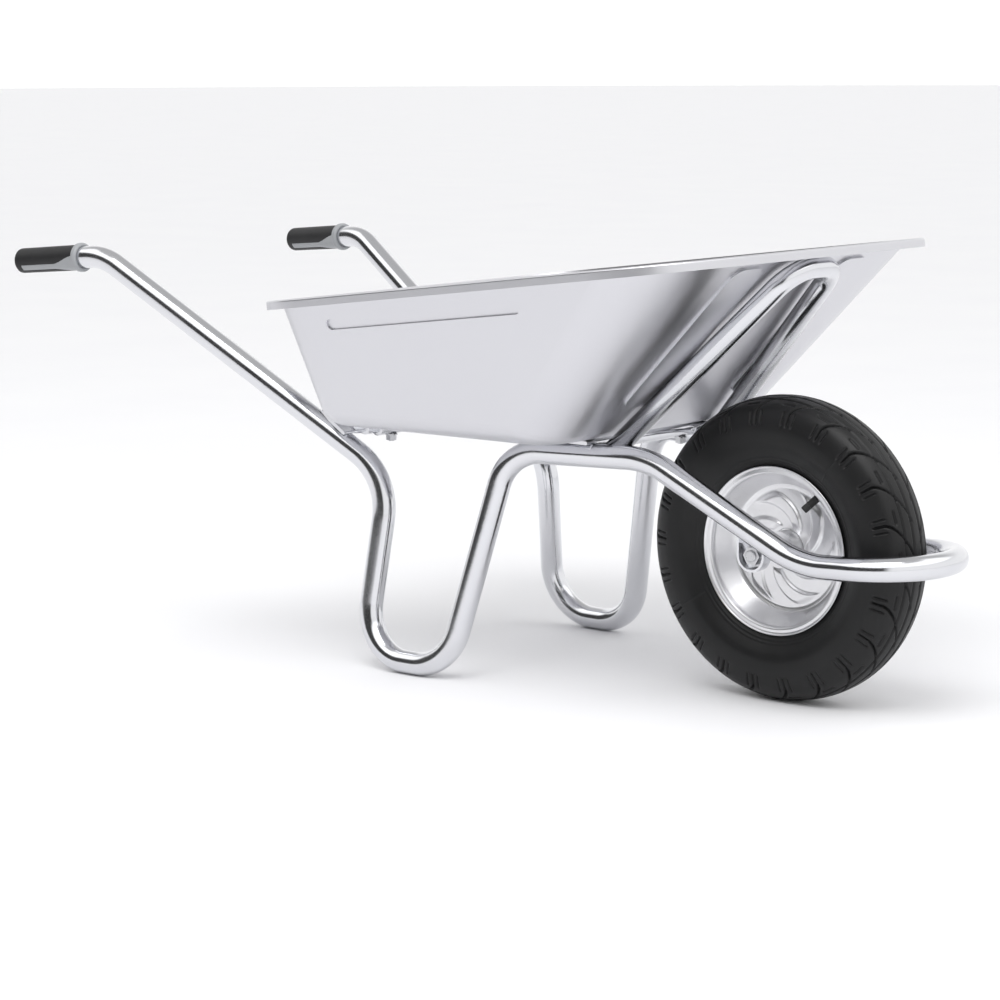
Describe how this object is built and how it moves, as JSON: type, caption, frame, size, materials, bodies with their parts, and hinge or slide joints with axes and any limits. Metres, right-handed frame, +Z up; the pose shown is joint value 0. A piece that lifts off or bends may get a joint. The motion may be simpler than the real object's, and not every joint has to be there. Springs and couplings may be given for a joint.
{
  "type": "wheelbarrow",
  "caption": "Wheelbarrow with a pressed steel tray on a bent tube frame that forms the handles, legs, wheel fork and front loop, and a pneumatic wheel on ball bearings.",
  "frame": {"origin": "on the ground, on the centre plane, half-way along the overall length", "axes": "+X forward along the travel direction, +Y to the user's left, +Z up"},
  "size_m": [1.4228, 0.6598, 0.5924],
  "materials": {
    "galvanised_tube": "bright zinc, glossy",
    "galvanised_sheet": "satin zinc, faintly brushed",
    "rim_steel": "satin silver",
    "zinc_fasteners": "satin",
    "bearing_steel": "ground and polished",
    "tyre_rubber": "matt black, moulded",
    "tube_rubber": "matt",
    "grip_rubber": "soft matt black",
    "grip_plastic": "fine-grained grey",
    "seal_rubber": "matt",
    "cap_plastic": "matt"
  },
  "bodies": {
    "frame": {"chassis_tube": "galvanised_tube", "rear_crossbar": "galvanised_tube", "front_crossbar": "galvanised_tube", "front_brace": "galvanised_tube", "tray": "galvanised_sheet", "tray_bolts": "zinc_fasteners", "tray_washers": "zinc_fasteners", "tray_nuts": "zinc_fasteners", "right_grip_core": "grip_plastic", "right_grip_cover": "grip_rubber", "left_grip_core": "grip_plastic", "left_grip_cover": "grip_rubber", "right_axle_bracket": "galvanised_tube", "left_axle_bracket": "galvanised_tube", "axle": "zinc_fasteners", "axle_washers": "zinc_fasteners", "axle_nuts": "zinc_fasteners", "axle_spacers": "galvanised_tube", "bearing_spacer": "bearing_steel", "bearing_inner_rings": "bearing_steel"},
    "wheel": {"bearing_outer_rings": "bearing_steel", "bearing_balls": "bearing_steel", "bearing_seals": "seal_rubber", "hub": "rim_steel", "right_rim_half": "rim_steel", "left_rim_half": "rim_steel", "tyre": "tyre_rubber", "inner_tube": "tube_rubber", "valve_stem": "seal_rubber", "valve_cap": "cap_plastic"}
  },
  "joints": [
    {"name": "wheel_spin", "type": "hinge", "parent": "frame", "child": "wheel", "pos_m": [0.457, 0, 0.2], "axis": [0, 1, 0], "continuous": true}
  ]
}
